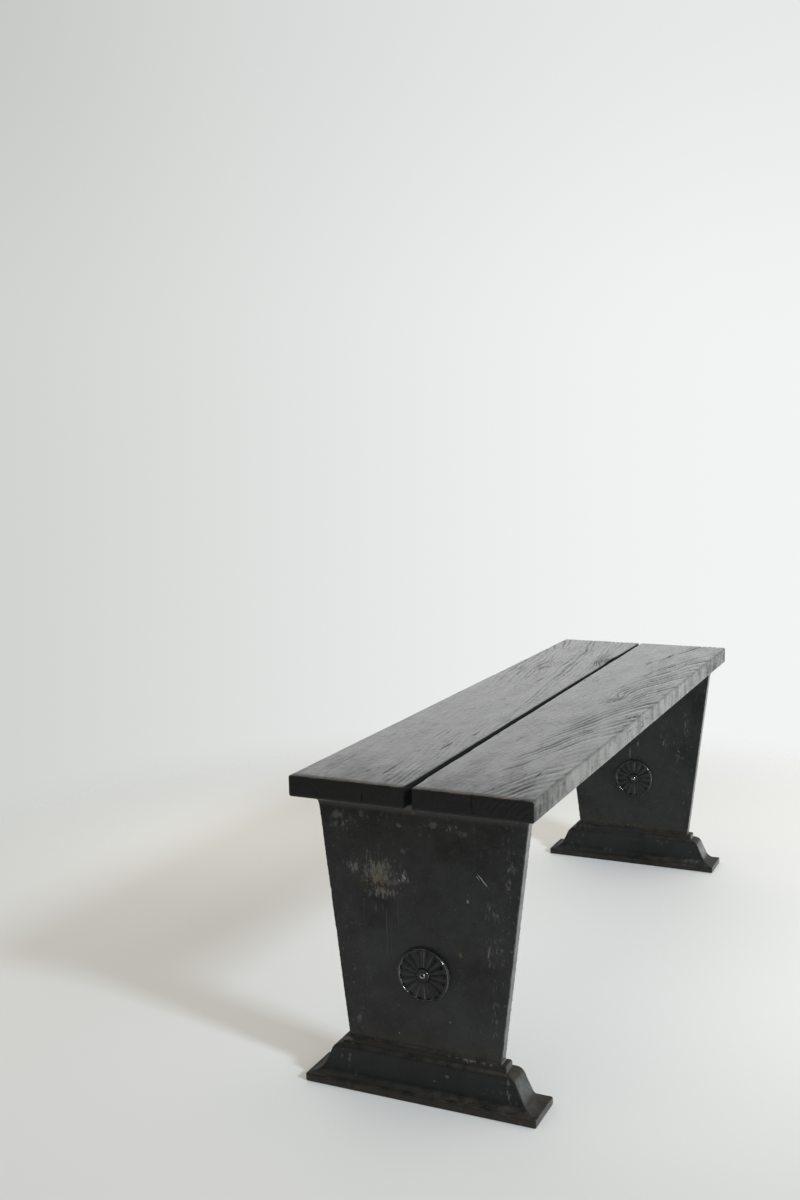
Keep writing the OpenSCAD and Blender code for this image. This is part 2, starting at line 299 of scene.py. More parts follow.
# Seat boards. Places are in millimetres in the bench's frame, along, across and up.
board = {
    "along": 400,                # mesh steps along, across and down a board
    "across": 144,
    "down": 9,
    "top": 450,
    "end": 592.5,                # half the boards' length
    "edgeRadius": (3.2, 1.5),    # worn long edges, outside and at the gap
    "edgeSteps": 3,
    "endChamfer": 1.0,           # sawn ends
    "ringGap": 7.8,              # distance between two growth rings
    "uneven": 9.0,               # how much that distance varies
    "ringTop": (0.62, 0.8),      # share of it where the hard ridge begins and ends
    "ringLeast": 0.2,            # the faintest ring, against the boldest
    "relief": 1.5,               # how deep the weathering has cut between the rings
    "sideRelief": 0.12,          # share of it on the sides
    "reliefLeast": 0.07,         # share of it where the boards are least worn
    "reliefWorn": (0.3, 0.63),   # and what worn places add: all over, and in patches
    "hollows": 1.0,              # slow rise and fall of the worn faces
    "sideWobble": 2.2,
    "sideChips": 0.7,
    "sideSwell": 0.3,
    "noiseLevel": 0.62,          # noise of this strength leaves the surface where it is
    "cracks": 0.8,               # depth of the short cracks along the grain
    "checks": 2.4,               # depth of the drying cracks in the near end
    "checkStart": (-575, -590),
    "checkWidth": 0.75,
    "checkWander": 6,
    "gapSide": (60, 30),         # what lies nearer to the middle than this faces the gap
    "closing": (1.0, 0.6),       # how much nearer the boards lie there: all along, and further on
    "closingStart": (-585, -520),
    "closingMore": (-350, 450),
    "knotLength": 1.7,           # the rings' bend round a knot, and its heart, against their width
    "heartLength": 2.6,
    "heartLean": 0.8,
    "heartSize": 0.3,
    "undersideKept": 0.12,       # share of the underside's faces that stay
}
leftGrain = {
    "heart": (212, 376),         # across and up: where the tree's middle lies
    "cone": 0.10,                # how much the rings widen along the board
    "drift": 26,                 # how far they stray
    "knots": ((268, 103, 17, 13), (378, 14, 22, 18)),    # along, across, size, push on the rings
    "checks": ((66.7, 431, 7),),                         # across, middle height, reach up and down
    "scoop": (386, 30, 4.2),                             # the inner edge's dip: along, width, depth
    "openAlong": (60, 230, 0.9),                         # where the rings stand out, and how much
    "openAcross": (62, 40, 0.45),
    "shift": 3.7,                # moves the noise, so that the boards differ
}
rightGrain = {
    "heart": (-183, 408),
    "cone": 0.215,
    "drift": 22,
    "knots": ((38, -105, 22, 19),),
    "checks": ((-91.5, 440, 15),),
    "scoop": (0, 1, 0.0),
    "openAlong": (-640, -600, 0.12),
    "openAcross": (-66, -104, 1.0),
    "shift": 0.0,
}


def boardEnds(node):
    low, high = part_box(node)
    points = [vertex.co for vertex in nodes[node].data.vertices]
    near, far = ([point.y for point in points if abs(point.x - end) < mm]
                 for end in (low.x, high.x))
    return low, high, (min(near), max(near)), (min(far), max(far))


# Growth rings: distance from the tree's heart, which leans through the board as a cone
def ringAge(net, place, grain):
    x, y, z = place
    across = y - grain["heart"][0]
    upward = z - grain["heart"][1]
    age = (across * across + upward * upward).root() + x * grain["cone"]
    drift = net.noise(place, (1 / 210, 1 / 60, 1 / 50), 2, 0.45, grain["shift"]) - 0.5
    age = age + drift * grain["drift"]
    for knotX, knotY, size, push in grain["knots"]:
        age = age + net.spot((x - knotX) / board["knotLength"], y - knotY, size * size) * push
    return age + (net.noise([age, age * 0, age * 0], 1 / 22, 1) - 0.5) * board["uneven"]


# 1 on the hard ridge of a ring, falling to 0 in the soft wood behind it; some rings stand out less
def ringRidge(net, place, grain):
    ring = ringAge(net, place, grain) / board["ringGap"]
    share = ring.fraction()
    begins, ends = board["ringTop"]
    ridge = share.rise(0.0, begins) * (1 - share.rise(ends, 1.0))
    number = net.maths("FLOOR", ring)
    own = net.add("ShaderNodeTexWhiteNoise", {"noise_dimensions": "1D"}, {"W": number})
    least = board["ringLeast"]
    return 1 - (1 - ridge) * (own.rise(0.15, 0.85) * (1 - least) + least)


# 1 in the middle of a knot
def knotHeart(net, place, grain):
    x, y, z = place
    hearts = []
    for knotX, knotY, size, _ in grain["knots"]:
        along = (x - knotX + (y - knotY) * board["heartLean"]) / board["heartLength"]
        hearts.append(net.spot(along, y - knotY, board["heartSize"] * size * size))
    return net.strongest(hearts)


# Short cracks that follow the grain
def grainCracks(net, place, grain):
    lines = net.noise(place, (1 / 85, 1 / 3.4, 1 / 3.4), 3, 0.6, 13 + grain["shift"])
    patches = net.noise(place, (1 / 70, 1 / 30, 1 / 30), 2, 0.5, 17 + grain["shift"])
    return lines.rise(0.62, 0.7) * patches.rise(0.46, 0.6)


# How far the rings stand out: on the right board's outer half, and at the left board's far end
def ringStrength(net, place, grain):
    x, y, z = place
    patches = net.noise(place, (1 / 90, 1 / 40, 1 / 40), 2, 0.5, 9 + grain["shift"]).rise(0.36, 0.6)
    fromX, toX, mostAlong = grain["openAlong"]
    fromY, toY, mostAcross = grain["openAcross"]
    worn = (x.rise(fromX, toX) * mostAlong).atLeast(y.rise(fromY, toY) * mostAcross)
    allOver, inPatches = board["reliefWorn"]
    return board["reliefLeast"] + worn * (allOver + patches * inPatches)


# 1 in the narrow drying cracks that run down the near end and a little way along the top
def endChecks(net, place, grain):
    x, y, z = place
    cracks = []
    for checkY, middle, reach in grain["checks"]:
        wander = (net.noise(place, (0.02, 0.0, 0.11), 2) - 0.5) * board["checkWander"]
        crack = (y - checkY - wander).hill(0, board["checkWidth"]) * z.hill(middle, reach)
        cracks.append(crack * x.rise(*board["checkStart"]))
    return net.strongest(cracks).clear()


def boardSurface(grain):
    level, shift = board["noiseLevel"], grain["shift"]

    def height(net, place, facing):
        x, y, z = place
        top = facing[2].rise(0.2, 0.7)
        side = abs(facing[1]).rise(0.5, 0.9)
        relief = (ringRidge(net, place, grain) - 1) * ringStrength(net, place, grain)
        relief = relief * board["relief"] * (top + side * board["sideRelief"])
        hollows = net.noise(place, (1 / 120, 1 / 42, 1 / 42), 3, 0.5, shift) - level
        hollows = hollows * board["hollows"]
        wobble = net.noise(place, (1 / 85, 0.0, 1 / 70), 2, 0.5, 5 + shift) - level
        chips = net.noise(place, (1 / 16, 1 / 16, 1 / 14), 2, 0.5, 2) - level
        sideways = wobble * board["sideWobble"] + chips * board["sideChips"] + board["sideSwell"]
        cracks = grainCracks(net, place, grain) * board["cracks"] * top
        total = relief - cracks + hollows * top + sideways * side
        nearer, further = board["closing"]
        closing = nearer + x.rise(*board["closingMore"]) * further
        inner = side * abs(y).rise(*board["gapSide"]) * x.rise(*board["closingStart"])
        middle, width, depth = grain["scoop"]
        scoop = x.hill(middle, width) * facing[1].rise(-0.4, -0.9) * depth
        return total + inner * closing - scoop - endChecks(net, place, grain) * board["checks"]
    return height


def makeBoard(node, grain):
    low, high, near, far = boardEnds(node)
    middle = (low + high) / 2
    chamfer = board["endChamfer"] * mm
    startFresh()
    bpy.ops.mesh.primitive_cube_add(size=1, location=middle,
                                    scale=high - low - Vector((2 * chamfer, 0, 0)))
    piece = bpy.context.object
    takeUp(piece)
    bpy.ops.object.transform_apply(location=True, rotation=True, scale=True)

    # The board tapers: each end's corners go to the solid's own width
    for end, edges in ((-1, near), (1, far)):
        for side, edge, corner in ((-1, edges[0], low.y), (1, edges[1], high.y)):
            pick(piece, "VERT", lambda vertex: (vertex.co.x - middle.x) * end > 0
                 and (vertex.co.y - middle.y) * side > 0)
            bpy.ops.transform.translate(value=(0, edge - corner, 0))

    # Edges along an axis, longer than the least length in metres
    def runs(axis, least=0):
        def test(edge):
            length = edge.calc_length()
            reach = abs((edge.verts[1].co - edge.verts[0].co)[axis])
            return length > least and reach > straight * length
        return test

    outward = 1 if middle.y > 0 else -1
    long = runs(0)
    for side, radius in zip((1, -1), board["edgeRadius"]):
        pick(piece, "EDGE", lambda edge: long(edge)
             and (edge.verts[0].co.y - middle.y) * outward * side > 0)
        bpy.ops.mesh.bevel(offset=radius * mm, segments=board["edgeSteps"], affect="EDGES")
    pick(piece, "FACE", lambda face: abs(face.normal.x) > straight)
    bpy.ops.mesh.inset(thickness=chamfer, depth=chamfer, use_individual=True)
    for axis, least, steps in ((0, 0.5, "along"), (1, 0.1, "across"), (2, 0.015, "down")):
        pick(piece, "EDGE", runs(axis, least))
        bpy.ops.mesh.subdivide(number_cuts=board[steps] - 1)
    bpy.ops.object.mode_set(mode="OBJECT")
    carve(piece, boardSurface(grain))
    pick(piece, "FACE", lambda face: face.normal.z < -straight)
    bpy.ops.mesh.decimate(ratio=board["undersideKept"])
    bpy.ops.object.mode_set(mode="OBJECT")
    return piece


wood = {
    "soft": (0.0178, 0.0200, 0.0176),    # between the rings
    "hard": (0.0590, 0.0665, 0.0600),    # the rings' ridges
    "worn": (0.112, 0.124, 0.113),       # rubbed patches
    "end": (0.0068, 0.0066, 0.0058),     # sawn ends
    "arris": (0.11, 0.050, 0.026),       # red-brown wood where the stain has rubbed off
    "crack": (0.003, 0.003, 0.003),      # also the knots' hearts and the pores, and the painted shade in the gap
    "specular": 0.45,
    "waxIor": 1.6,
    "waxRoughness": 0.2,
    "wax": (0.05, 0.78),                 # least and most of it
    "smooth": 0.30,                      # roughness below the wax, where there is most of it
    "rough": 0.62,                       # and where there is least
    "nearEnd": (-380, -590),             # the last stretch is darker, with less wax
    "sideDuller": (150, 560),            # the sides lose their wax from here to there
    "gapShadeFrom": 1.6,                     # the gap's painted shade begins this far down
    "rubUp": 1.5,                        # reach of the rub on the ends' arrises, up and along
    "rubAlong": 2.2,
}


def stainedWood(name, grain):
    material, net, shader = newMaterial(name, specular=wood["specular"], coatIor=wood["waxIor"],
                                        coatRoughness=wood["waxRoughness"])
    place = objectPlace(net)
    x, y, z = place
    facing = surfaceNormal(net)
    ridge = ringRidge(net, place, grain)
    side = abs(facing[1]).rise(0.6, 0.9)
    ends = abs(facing[0]).rise(0.6, 0.9)
    nearEnd = x.rise(*wood["nearEnd"])
    strength = ringStrength(net, place, grain) * (1 - side * 0.75)
    fibre = net.noise(place, (1 / 45, 1 / 0.9, 1 / 0.9), 3, 0.6)
    streak = net.noise(place, (1 / 90, 1 / 5, 1 / 5), 3, 0.55)
    cloud = net.noise(place, (1 / 75, 1 / 30, 1 / 30), 4, 0.55, 4)
    leather = net.noise(place, (1 / 13, 1 / 9, 1 / 9), 4, 0.6, 27)
    pores = net.noise(place, (1 / 22, 1 / 0.7, 1 / 0.7), 2, 0.5, 7).rise(0.62, 0.74)
    heart = knotHeart(net, place, grain) * (fibre + streak).rise(0.75, 1.15)
    cracks = (grainCracks(net, place, grain) + endChecks(net, place, grain)).clear()
    streaky, cloudy, leathery = (noise - 0.5 for noise in (streak, cloud, leather))

    # Stain: paler ridges and rubbed patches, dark knots, pores, ends and cracks, red-brown arrises
    tone = 0.55 + (ridge - 1) * strength * 0.45 + streaky * 0.2 + cloudy * 0.6 + leathery * 0.5
    colour = net.blend((tone - nearEnd * 0.33).clear(), wood["soft"], wood["hard"])
    colour = net.blend((cloud + fibre * 0.4).rise(0.66, 0.95) * 0.5, colour, wood["worn"])
    colour = net.blend((pores * 0.5).atLeast(heart * 0.8), colour, wood["crack"])
    colour = net.blend(ends, colour, wood["end"])
    rub = net.noise(place, (1 / 9, 1 / 14, 1 / 3), 3, 0.6, 3).rise(0.4, 0.6)
    topEdge = z.hill(board["top"], wood["rubUp"]) * abs(x).hill(board["end"], wood["rubAlong"])
    colour = net.blend(topEdge * rub * 0.9, colour, wood["arris"])
    colour = net.blend(cracks, colour, wood["crack"])

    # Painted shade: the gap between the boards is painted dark; the outer sides are smudged from
    # top to bottom
    gapShade = abs(facing[1]).rise(0.25, 0.55) * abs(y).rise(*board["gapSide"])
    gapShade = gapShade * z.rise(board["top"], board["top"] - wood["gapShadeFrom"])
    colour = net.blend(gapShade, colour, wood["crack"])
    smudge = net.noise(place, (1 / 13, 1 / 13, 1 / 40), 4, 0.65, 21).rise(0.44, 0.6) * side

    # Old wax, worn off in the valleys, the knots and the smudges and towards both ends
    valleys = (1 - ridge) * strength
    cover = 1.03 - valleys * 0.7 - heart * 0.8 - cracks - pores * 0.35
    cover = cover + streaky * 0.15 + cloudy * 0.65 + leathery * 0.7 - smudge * 0.42
    cover = cover - side * x.rise(*wood["sideDuller"]) * 0.42 - ends * 0.75 - gapShade * 1.5
    cover = (cover - nearEnd * (0.28 + side * 0.2)).clear()
    least, most = wood["wax"]
    net.link((cover * (most - least) + least) * (1 - gapShade), shader, "Coat Weight")
    roughness = wood["rough"] - cover * (wood["rough"] - wood["smooth"])
    roughness = roughness + (fibre - 0.5) * 0.1 + gapShade * 0.4
    height = fibre * 0.09 + streak * 0.08 + leather - pores * 0.2 + ridge * strength * 0.8
    feed(net, shader, colour, roughness, net.bump(height))
    return material


for hand, grain in (("left", leftGrain), ("right", rightGrain)):
    finishPiece(makeBoard(f"{hand}_plank", grain), f"{hand}Board", f"{hand}_plank",
                stainedWood(f"{hand}BoardStain", grain))
print("seat boards made")


# Castings: the solids' own shapes, remeshed so that their arrises and corners soften
casting = {
    "panel": (1.75, 2, 1.6),     # size of the mesh's faces, smoothing passes, corners' rounding
    "foot": (1.6, 3, 2.2),
    "rosette": (0.55, 3, 0.3),
    "rivet": (0.3, 2, 0.3),
    "wave": 1.1,                 # slow unevenness of the cast faces
    "grain": 0.22,               # sand-cast skin
    "pits": 0.3,
    "swell": 0.2,                # makes up for what the smoothing takes away
    "nicks": 0.9,                # knocks along the panels' side edges
    "fillet": 2.2,               # swelling of the panels where they enter the feet
    "filletFrom": (70, 66),
    "floorEdge": (0, 3),         # the skin begins above the floor
    "cornerSteps": 3,
    "cornerAngle": 35,           # degrees from which an edge counts as a corner
    "flatAngle": 1,              # degrees up to which two faces count as one
    "merge": 0.01,               # vertices this near become one
}


def castingFrom(node, kind):
    step, passes, rounding = casting[kind]
    piece = bpy.data.objects.new(node, nodes[node].data.copy())
    bpy.context.scene.collection.objects.link(piece)
    pick(piece, "VERT", lambda vertex: True)
    bpy.ops.mesh.remove_doubles(threshold=casting["merge"] * mm)
    bpy.ops.mesh.dissolve_limited(angle_limit=math.radians(casting["flatAngle"]))
    bpy.ops.object.mode_set(mode="OBJECT")
    apply(piece, "BEVEL", width=rounding * mm, segments=casting["cornerSteps"],
          angle_limit=math.radians(casting["cornerAngle"]))
    guide = bpy.data.objects.new("guide", piece.data.copy())
    bpy.context.scene.collection.objects.link(guide)
    apply(piece, "REMESH", mode="VOXEL", voxel_size=step * mm)
    apply(piece, "SMOOTH", factor=0.5, iterations=passes)
    apply(piece, "SHRINKWRAP", target=guide, wrap_method="NEAREST_SURFACEPOINT")
    apply(piece, "SMOOTH", factor=0.5, iterations=1)
    bpy.data.objects.remove(guide)
    return piece


def castSkin(shift, isPanel):
    def height(net, place, facing):
        z = place[2]
        wave = net.noise(place, 1 / 48, 2, 0.5, shift) - 0.5
        grain = net.noise(place, 1 / 8, 3, 0.6, shift + 3) - 0.5
        pits = net.noise(place, 1 / 6, 1, 0.5, shift + 7).rise(0.68, 0.8)
        total = wave * casting["wave"] + grain * casting["grain"] - pits * casting["pits"]
        total = total + casting["swell"]
        if isPanel:
            corners = abs(facing[0]).rise(0.25, 0.5) * abs(facing[1]).rise(0.25, 0.5)
            nicks = net.noise(place, 1 / 19, 3, 0.6, shift + 5).rise(0.56, 0.72) * casting["nicks"]
            total = total + corners * (casting["swell"] - nicks)
            total = total + z.rise(*casting["filletFrom"]) * casting["fillet"]
        return total * z.rise(*casting["floorEdge"])
    return height


# Black paint on iron
iron = {
    "deep": (0.0052, 0.0057, 0.0055),
    "pale": (0.0310, 0.0335, 0.0328),
    "green": (0.0120, 0.0180, 0.0165),
    "brown": (0.0230, 0.0155, 0.0100),
    "rust": (0.1250, 0.0560, 0.0220),
    "dust": (0.0560, 0.0470, 0.0360),
    "earth": (0.0300, 0.0220, 0.0130),
    "haze": (0.1000, 0.1010, 0.0970),
    "scuff": (0.1350, 0.1370, 0.1180),
    "drip": (0.0600, 0.0640, 0.0600),
    "ochre": (0.1250, 0.0950, 0.0500),
    "cold": (0.2300, 0.2750, 0.3000),
    "bare": (0.1050, 0.1040, 0.1000),
    "rubbed": ((0.2550, 0.2560, 0.2530), (0.4200, 0.4220, 0.4150)),    # side edges, low and high up: rubbed paint and painted light
    "rough": 0.42,
    "paintedLightUp": (240, 420),       # painted light: the paint is paler high up, making up for the seat's shade
    # painted light on the side edges grows from here to there
    "paintedEdgeLightUp": (120, 400),
    "dustyRight": (30, -60),     # across: more dust to the right
    "floorEarth": (16, 5),       # earth just above the floor
    "collarEarth": (72, 16),     # and round the feet's collars: height and reach
    "sprinkleUp": (290, 390),    # flecks high up and out to the sides
    "sprinkleOut": (60, 125),
    "ior": 1.4,
    "satin": {"specular": 0.5, "coatIor": 1.5, "coatRoughness": 0.3},
    "glossy": {"specular": 0.15, "coatIor": 1.9, "coatRoughness": 0.12},
}
# Marks on the faces towards the camera: across, up, half width, half height, strength
nearMarks = {
    "haze": (
        (-20, 388, 11, 8, 1.0), (-60, 380, 11, 10, 0.95), (-30, 375, 6, 9, 0.8),
        (32, 383, 7, 6, 0.9), (27, 347, 8, 7, 0.75), (-8, 325, 7, 7, 0.75),
        (125, 388, 12, 9, 0.8), (88, 392, 10, 8, 0.75), (138, 372, 9, 8, 0.7),
        (62, 306, 46, 36, 0.66), (-112, 232, 16, 36, 0.48),
        # The last mark here, a wide pale band under the top, is partly dust and partly a painted
        # highlight along the cove
        (-104, 280, 18, 30, 0.48), (-135, 340, 10, 60, 0.5), (-30, 392, 90, 14, 0.5),
        (97, 92, 9, 24, 0.6),
    ),
    "drip": (
        (88, 250, 2.2, 34, 0.8), (53, 225, 2.0, 60, 0.95), (46, 218, 1.6, 50, 0.75),
        (35, 250, 2.4, 44, 0.8), (70, 262, 26, 14, 0.7),
    ),
    "scuff": (
        (66, 316, 34, 26, 0.84), (104, 316, 12, 22, 0.8), (24, 310, 12, 16, 0.85),
        (74, 338, 40, 12, 0.5), (62, 284, 34, 12, 0.75), (118, 380, 34, 20, 0.62),
        (-104, 226, 26, 36, 0.57), (-104, 274, 22, 26, 0.56), (-40, 113, 1.5, 1.5, 1.6),
        # The last mark here, a wide pale band under the top, is partly scuffing and partly a
        # painted highlight along the cove
        (37, 84, 1.6, 1.6, 1.2), (-68, 288, 2, 3, 1.5), (-40, 388, 60, 16, 0.52),
        (-128, 330, 8, 70, 0.6), (-106, 150, 6, 60, 0.6),
    ),
    "ochre": ((64, 306, 32, 22, 0.66), (-57, 212, 3, 5, 0.9), (60, 288, 30, 8, 0.6)),
    "cold": (
        (-90, 320, 1.3, 9, 1.5), (-83, 323, 1.1, 4, 1.1), (26, 311, 2.0, 5, 1.0),
        (33, 305, 1.6, 4, 0.9), (-68, 288, 1.2, 1.6, 1.3),
    ),
    "rust": ((10, 402, 3.0, 2.6, 1.6), (30, 407, 9, 4, 0.8), (-123, 68, 6, 5, 0.7)),
}
farMarks = {
    "haze": ((-60, 320, 50, 60, 0.5), (60, 280, 40, 50, 0.5), (-95, 220, 20, 60, 0.55)),
    "scuff": (
        (7, 228, 1.8, 13, 1.3), (-10, 248, 1.8, 7, 1.1), (-72, 260, 30, 24, 0.52),
        (-110, 300, 8, 50, 0.5), (60, 300, 30, 30, 0.42), (-60, 340, 40, 30, 0.42),
    ),
    "drip": ((7, 225, 1.8, 40, 0.8), (-30, 300, 3, 50, 0.6)),
    "ochre": ((20, 72, 60, 4, 0.45),),
    "cold": ((-95, 240, 1.2, 3, 0.9),),
    "rust": ((0, 72, 90, 5, 0.5), (-60, 110, 40, 20, 0.35)),
}
nearFootMarks = {
    "haze": (
        (116, 62, 15, 9, 0.75), (110, 38, 4, 24, 0.62),
        (-40, 40, 5, 4, 0.7), (-20, 30, 4, 3, 0.7),
    ),
    "scuff": ((-128, 30, 4, 30, 0.7), (-75, 66, 50, 4, 0.75)),
}
farFootMarks = {
    "haze": ((-120, 14, 40, 12, 0.62), (-60, 50, 90, 10, 0.5), (40, 24, 70, 14, 0.5)),
    "scuff": ((-30, 72, 110, 5, 0.7), (-115, 12, 40, 8, 0.66), (100, 60, 20, 10, 0.55)),
}
# Each kind of mark: the noise that breaks it up, how much, how strong the mark is, how far it leans
markKinds = {
    "haze": ("mottle", 1.8, 0.8, 0),
    "drip": ("runs", 1.4, 0.6, 0),
    "scuff": ("strokes", 2.6, 0.75, 0),
    "ochre": ("flecks", 3.6, 0.85, 0),
    "rust": ("flecks", 2.4, 0.75, 0),
    "cold": ("flecks", 1.4, 0.9, 0.9),
}


def spread(net, y, z, marks, lean):
    spots = []
    for markY, markZ, wide, tall, strength in marks:
        across = (y - markY - (z - markZ) * lean) / wide
        spots.append(net.spot(across, (z - markZ) / tall) * strength)
    return net.strongest(spots)


def blackIron(name, shift, marks=None, dusty=0.6, tint=0.3, shade=1.0, wear=0.75, rubbed=0.3,
              edgeGloss=0.0, dull=0.0, glossy=False):
    finish = iron["glossy"] if glossy else iron["satin"]
    material, net, shader = newMaterial(name, ior=iron["ior"], **finish)
    place = objectPlace(net)
    x, y, z = place
    facing = surfaceNormal(net)
    cloud = net.noise(place, 1 / 85, 3, 0.55, shift)
    mottle = net.noise(place, 1 / 17, 4, 0.6, shift + 2)
    grit = net.noise(place, 1 / 2.2, 2, 0.6, shift + 4)
    runs = net.noise(place, (1 / 4, 1 / 4, 1 / 42), 3, 0.6, shift + 6)
    tone = (cloud * 0.8 + mottle * 0.4 + (grit - 0.5) * 0.3 - 0.1).rise(0.2, 0.8)
    # Painted light: paler paint high up, making up for the shade under the seat
    tone = tone + z.rise(*iron["paintedLightUp"]) * 0.3
    colour = net.blend(tone * shade, iron["deep"], iron["pale"])
    colour = net.blend(cloud.rise(0.45, 0.7) * tint, colour, iron["green"])
    stains = mottle.rise(0.55, 0.75) * runs.rise(0.4, 0.7) * 0.38
    colour = net.blend(stains, colour, iron["brown"])

    # Knocked arrises; rubbed side edges, also painted paler as painted light, most of all high up
    # under the seat
    sideways = abs(facing[1]).atLeast(abs(facing[2]))
    corner = abs(facing[0]).rise(0.25, 0.6) * sideways.rise(0.3, 0.65)
    worn = corner * (mottle * 0.7 + grit * 0.4).rise(0.44, 0.66)
    colour = net.blend(worn * wear, colour, iron["bare"])
    edges = abs(facing[1]).rise(0.7, 0.95)
    rubsAndEdgeLight = edges * (mottle * 0.6 + grit * 0.5).rise(0.35, 0.7) * rubbed
    colour = net.blend(rubsAndEdgeLight, colour, net.blend(z.rise(*iron["paintedEdgeLightUp"]), *iron["rubbed"]))

    # Dust on ledges, earth near the floor and on the feet's collars, and specks of rust
    ledge = facing[2].rise(0.35, 0.9) * (mottle * 0.7 + grit * 0.5).rise(0.42, 0.78)
    right = y.rise(*iron["dustyRight"])
    colour = net.blend(ledge * dusty * (right * 0.7 + 0.3), colour, iron["dust"])
    earthy = z.rise(*iron["floorEarth"]).atLeast(z.hill(*iron["collarEarth"]) * 0.6)
    earthy = earthy * (mottle * 0.8 + runs * 0.3).rise(0.35, 0.65)
    colour = net.blend(earthy * 0.75, colour, iron["earth"])
    specks = net.noise(place, 1 / 5, 2, 0.5, shift + 9).rise(0.75, 0.82)
    colour = net.blend(specks * 0.4, colour, iron["rust"])
    dull = dull + worn * 0.1 + ledge * 0.2 + specks * 0.2

    if edgeGloss:
        net.link(edges * (0.5 + mottle) * edgeGloss, shader, "Coat Weight")
    if glossy:    # the slopes between the flutes, most of all those that face up and to the right
        slopes = abs(facing[0]).rise(0.97, 0.8) * (1 - facing[1].rise(-0.2, 0.4) * 0.75)
        slopes = slopes * (1 - facing[2].rise(0.1, -0.5) * 0.7) + 0.12
        net.link(slopes.clear(), shader, "Coat Weight")

    if marks:
        noises = {
            "mottle": mottle,
            "runs": runs,
            "strokes": net.noise(place, (1 / 5, 1 / 5, 1 / 14), 4, 0.7, shift + 11),
            "flecks": net.noise(place, (1 / 3.2, 1 / 3.2, 1 / 4), 3, 0.65, shift + 13),
        }
        front = facing[0].rise(-0.5, -0.8)
        sprinkle = net.noise(place, (1 / 6, 1 / 6, 1 / 8), 3, 0.6, shift + 15).rise(0.6, 0.72)
        high, out = z.rise(*iron["sprinkleUp"]), abs(y).rise(*iron["sprinkleOut"])
        outskirts = (high * 0.7).atLeast(out * 0.7)
        colour = net.blend(sprinkle * outskirts * front * 0.7, colour, iron["haze"])
        for kind, (noise, broken, share, lean) in markKinds.items():
            if kind not in marks:
                continue
            patch = spread(net, y, z, marks[kind], lean) + (noises[noise] - 0.5) * broken
            patch = patch.rise(0.55, 0.95) * front
            colour = net.blend(patch * share, colour, iron[kind])
            dull = dull + patch * 0.15
    roughness = (iron["rough"] + (mottle - 0.5) * 0.25 + dull - edges * 0.1).clear()
    height = grit * 0.08 + mottle * 0.3 + runs * 0.1
    feed(net, shader, colour, roughness, net.bump(height, 0.7))
    return material


panels = {
    "near": {"shift": 0.0, "marks": nearMarks},
    "far": {"shift": 20.0, "marks": farMarks},
}
for end, paint in panels.items():
    panel = castingFrom(f"{end}_end_panel", "panel")
    carve(panel, castSkin(paint["shift"], True))
    finishPiece(panel, f"{end}Panel", f"{end}_end_panel",
                blackIron(f"{end}PanelPaint", edgeGloss=0.33, rubbed=0.33, **paint))
print("end panels made")

feet = {
    # The near foot's paint is made darker and the far foot's paler, painted shade and painted light
    # on the same iron; the far foot's side edges carry more painted light
    "near": {"shift": 40, "marks": nearFootMarks, "dusty": 0.85, "shade": 0.32, "rubbed": 0.3},
    "far": {"shift": 60, "marks": farFootMarks, "dusty": 0.9, "shade": 0.65, "rubbed": 0.95},
}
for end, paint in feet.items():
    foot = castingFrom(f"{end}_foot", "foot")
    carve(foot, castSkin(paint["shift"], False))
    finishPiece(foot, f"{end}Foot", f"{end}_foot",
                blackIron(f"{end}FootPaint", tint=0.2, wear=0.05, edgeGloss=0.15, dull=0.1,
                          **paint))
print("feet made")

rivet = {
    "rubbed": (0.30, 0.30, 0.295),
    "stained": (0.07, 0.067, 0.063),
    "smooth": 0.16,
    "rougher": 0.25,         # where it is stained
    "place": (-2, 175.5),    # across and up
    "radius": 5,
    "proud": 0.7,            # how much further the middle of a head stands out
}


def rubbedSteel():
    material, net, shader = newMaterial("rubbedSteel")
    shader.inputs["Metallic"].default_value = 1.0
    place = objectPlace(net)
    mottle = net.noise(place, 1 / 3, 3, 0.6)
    grit = net.noise(place, 1 / 0.7, 2, 0.5, 4)
    stained = (mottle * 0.8 + grit * 0.3).rise(0.5, 0.7)
    colour = net.blend(stained, rivet["rubbed"], rivet["stained"])
    roughness = rivet["smooth"] + stained * rivet["rougher"]
    feed(net, shader, colour, roughness, net.bump(grit * 0.03 + mottle * 0.06, 0.4))
    return material


def hammeredHead(net, place, facing):
    across, up = place[1] - rivet["place"][0], place[2] - rivet["place"][1]
    away = (across ** 2 + up ** 2) / rivet["radius"] ** 2
    return (1 - away).clear() * abs(facing[0]).rise(0.1, 0.4) * rivet["proud"]


rosettePaint = blackIron("rosettePaint", 71, dusty=0.05, tint=0.1, shade=0.7, glossy=True)
rivetSteel = rubbedSteel()
for end in ("near", "far"):
    for side in ("outer", "inner"):
        node = f"{end}_{side}_rosette"
        finishPiece(castingFrom(node, "rosette"), f"{end}{side.capitalize()}Rosette", node,
                    rosettePaint)
    pin = castingFrom(f"{end}_rosette_rivet", "rivet")
    carve(pin, hammeredHead)
    finishPiece(pin, f"{end}Rivet", f"{end}_rosette_rivet", rivetSteel)
print("rosettes and rivets made")


# Screws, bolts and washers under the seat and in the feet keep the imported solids' shapes
fastener = {
    "kinds": ("seat_screws", "seat_washers", "foot_bolts", "foot_washers"),
    "dark": (0.035, 0.030, 0.027),
    "rust": (0.13, 0.055, 0.022),
    "rough": 0.5,
    "rougher": 0.3,          # where it is rusty
    "metal": 0.8,            # where it isn't
}


